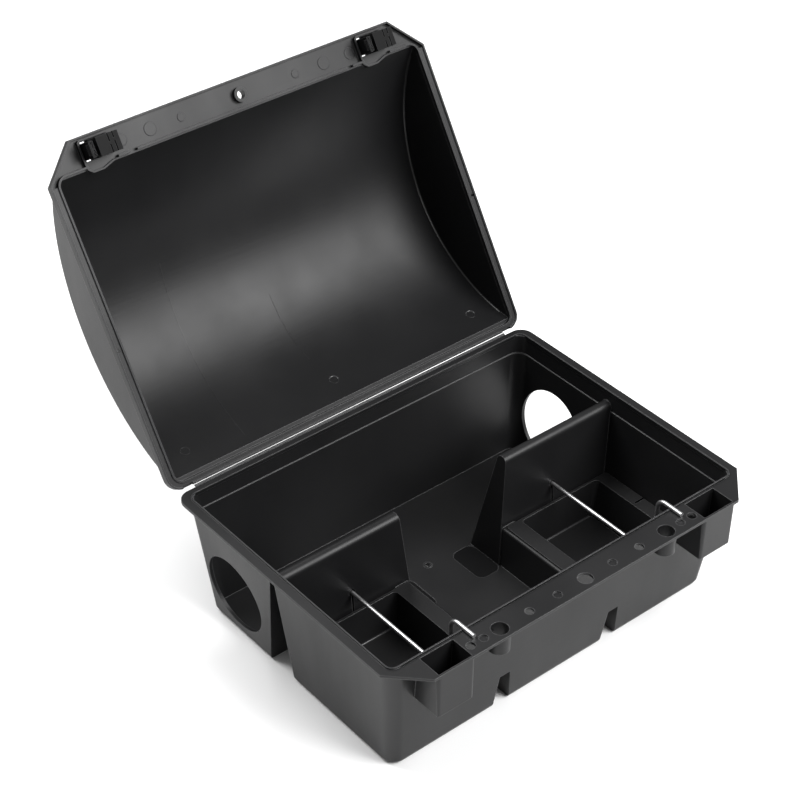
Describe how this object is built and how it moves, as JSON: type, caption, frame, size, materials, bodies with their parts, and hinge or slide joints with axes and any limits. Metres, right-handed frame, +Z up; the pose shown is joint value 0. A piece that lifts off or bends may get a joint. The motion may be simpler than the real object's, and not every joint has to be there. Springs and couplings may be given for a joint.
{
  "type": "bait station",
  "caption": "Tamper-resistant rodent bait station: black moulded tub with hinged vaulted lid shown open, lift-out bait trays, wire bait rods and key-released latches.",
  "frame": {"origin": "centre of the footprint on the underside of the tub, at the middle of the centre pod", "axes": "+Z up, -Y towards the latches and the front ledge, +X to the right seen from the front"},
  "size_m": [0.311, 0.3715, 0.2993],
  "materials": {
    "tub_plastic": "satin, injection moulded",
    "lid_plastic": "satin, injection moulded",
    "tray_plastic": "satin, injection moulded",
    "latch_plastic": "satin, injection moulded",
    "rod_steel": "drawn wire"
  },
  "bodies": {
    "tub": {"base_shell": "tub_plastic", "hinge_film": "tub_plastic"},
    "lid": {"lid_shell": "lid_plastic", "latch_left_body": "latch_plastic", "latch_right_body": "latch_plastic"},
    "rod_left": {"bait_rod_left": "rod_steel"},
    "rod_right": {"bait_rod_right": "rod_steel"},
    "left_tray": {"tray_left": "tray_plastic"},
    "right_tray": {"tray_right": "tray_plastic"},
    "hook_left": {"latch_left_hook": "latch_plastic", "latch_left_leaves": "latch_plastic"},
    "hook_right": {"latch_right_hook": "latch_plastic", "latch_right_leaves": "latch_plastic"}
  },
  "joints": [
    {"name": "lid_hinge", "type": "hinge", "parent": "tub", "child": "lid", "pos_m": [0, 0.119, 0.096], "axis": [-1, 0, 0], "range_deg": [-122.7, 0]},
    {"name": "rod_left_tilt", "type": "hinge", "parent": "tub", "child": "rod_left", "pos_m": [-0.09, 0.0132, 0.048], "axis": [-1, 0, 0], "range_deg": [0, 25]},
    {"name": "rod_right_tilt", "type": "hinge", "parent": "tub", "child": "rod_right", "pos_m": [0.09, 0.0132, 0.048], "axis": [-1, 0, 0], "range_deg": [0, 25]},
    {"name": "tray_left_lift", "type": "slide", "parent": "tub", "child": "left_tray", "axis": [0, 0, 1], "range_m": [0, 0.012]},
    {"name": "tray_right_lift", "type": "slide", "parent": "tub", "child": "right_tray", "axis": [0, 0, 1], "range_m": [0, 0.012]},
    {"name": "latch_left_release", "type": "slide", "parent": "lid", "child": "hook_left", "axis": [1, 0, 0], "range_m": [0, 0.002], "stiffness_N_per_m": 1500},
    {"name": "latch_right_release", "type": "slide", "parent": "lid", "child": "hook_right", "axis": [1, 0, 0], "range_m": [0, 0.002], "stiffness_N_per_m": 1500}
  ]
}
